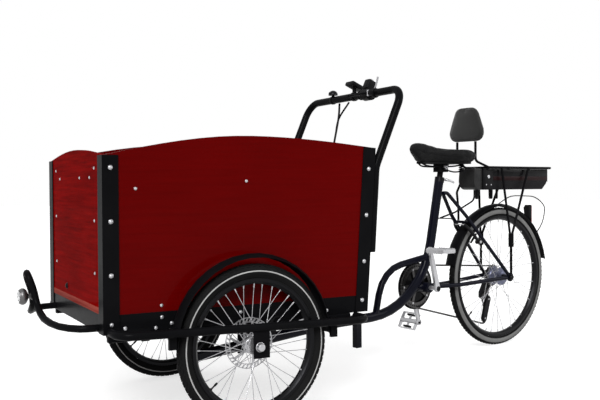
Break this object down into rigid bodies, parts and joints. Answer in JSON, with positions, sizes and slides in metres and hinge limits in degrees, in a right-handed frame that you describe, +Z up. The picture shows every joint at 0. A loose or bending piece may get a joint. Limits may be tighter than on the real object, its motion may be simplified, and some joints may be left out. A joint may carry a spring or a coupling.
{
  "type": "electric cargo tricycle",
  "caption": "Electric cargo tricycle with a red wooden load box between two steered front wheels, a step-through rear frame, crank drive, rear rack with battery and a saddle with backrest.",
  "frame": {"origin": "on the ground, under the middle of the overall size, with the front module parked turned eight degrees to the right", "axes": "+X forward along the rear frame, +Y to the rider's left, +Z up"},
  "size_m": [2.5342, 0.9828, 1.1311],
  "materials": {
    "black_alloy": "black anodised alloy",
    "black_paint": "satin black powder coat on steel",
    "black_plastic": "matt black moulded plastic",
    "chain_steel": "oiled dark steel",
    "navy_paint": "gloss blue-black paint on steel tube",
    "red_lacquer": "gloss lacquered birch plywood, deep red",
    "red_lens": "red moulded lens in a black housing",
    "saddle_cover": "black grained cover over foam",
    "silver_metal": "bright aluminium and stainless wire",
    "tyre_rubber": "black road tyre"
  },
  "bodies": {
    "rear_frame": {"frame": "navy_paint", "rear_stays": "navy_paint", "rear_axle": "black_alloy", "rear_fender": "black_paint", "tail_light": "red_lens", "seat_post": "black_paint", "saddle": "saddle_cover", "backrest_pad": "saddle_cover", "rack": "black_paint", "battery": "black_plastic", "controller_case": "black_plastic", "battery_lead": "black_plastic", "chain": "chain_steel", "derailleur": "black_alloy"},
    "rear_wheel": {"rear_wheel_tyre": "tyre_rubber", "rear_wheel_rim": "black_alloy", "rear_wheel_hub_and_spokes": "silver_metal", "cassette": "chain_steel"},
    "crank": {"crankset": "silver_metal", "chainring_and_guard": "black_plastic"},
    "left_pedal": {"pedal_left": "silver_metal"},
    "right_pedal": {"pedal_right": "silver_metal"},
    "front_module": {"sub_frame": "black_paint", "outer_rail_left": "black_paint", "outer_rail_right": "black_paint", "front_axle_left": "black_alloy", "front_axle_right": "black_alloy", "box_side_left": "red_lacquer", "box_side_right": "red_lacquer", "box_front_panel": "red_lacquer", "box_rear_panel": "red_lacquer", "box_floor": "red_lacquer", "corner_post_front_left": "black_paint", "corner_post_front_right": "black_paint", "corner_post_rear_left": "black_paint", "corner_post_rear_right": "black_paint", "handlebar": "black_paint", "bell": "silver_metal", "display_unit": "black_plastic", "brake_lever": "black_plastic", "brake_cables": "black_plastic", "bumper": "black_paint", "headlight": "black_plastic", "front_fender_left": "black_paint", "front_fender_right": "black_paint"},
    "left_front_wheel": {"front_wheel_left_tyre": "tyre_rubber", "front_wheel_left_rim": "black_alloy", "front_wheel_left_hub_and_spokes": "silver_metal"},
    "right_front_wheel": {"front_wheel_right_tyre": "tyre_rubber", "front_wheel_right_rim": "black_alloy", "front_wheel_right_hub_and_spokes": "silver_metal"}
  },
  "joints": [
    {"name": "steering", "type": "hinge", "parent": "rear_frame", "child": "front_module", "pos_m": [0.72368, -0.00904, 0.2], "axis": [0, 0, 1], "range_deg": [-27, 43]},
    {"name": "left_front_wheel_spin", "type": "hinge", "parent": "front_module", "child": "left_front_wheel", "pos_m": [0.69873, 0.38829, 0.2493], "axis": [0.1392, 0.9903, 0], "continuous": true},
    {"name": "right_front_wheel_spin", "type": "hinge", "parent": "front_module", "child": "right_front_wheel", "pos_m": [0.59018, -0.38412, 0.2493], "axis": [0.1392, 0.9903, 0], "continuous": true},
    {"name": "rear_wheel_spin", "type": "hinge", "parent": "rear_frame", "child": "rear_wheel", "pos_m": [-0.91632, -0.00904, 0.31526], "axis": [0, 1, 0], "continuous": true},
    {"name": "crank_spin", "type": "hinge", "parent": "rear_frame", "child": "crank", "pos_m": [-0.44057, -0.00904, 0.3], "axis": [0, 1, 0], "continuous": true},
    {"name": "left_pedal_spin", "type": "hinge", "parent": "crank", "child": "left_pedal", "pos_m": [-0.39887, 0.06696, 0.46481], "axis": [0, 1, 0], "continuous": true},
    {"name": "right_pedal_spin", "type": "hinge", "parent": "crank", "child": "right_pedal", "pos_m": [-0.48227, -0.08504, 0.13519], "axis": [0, 1, 0], "continuous": true}
  ]
}
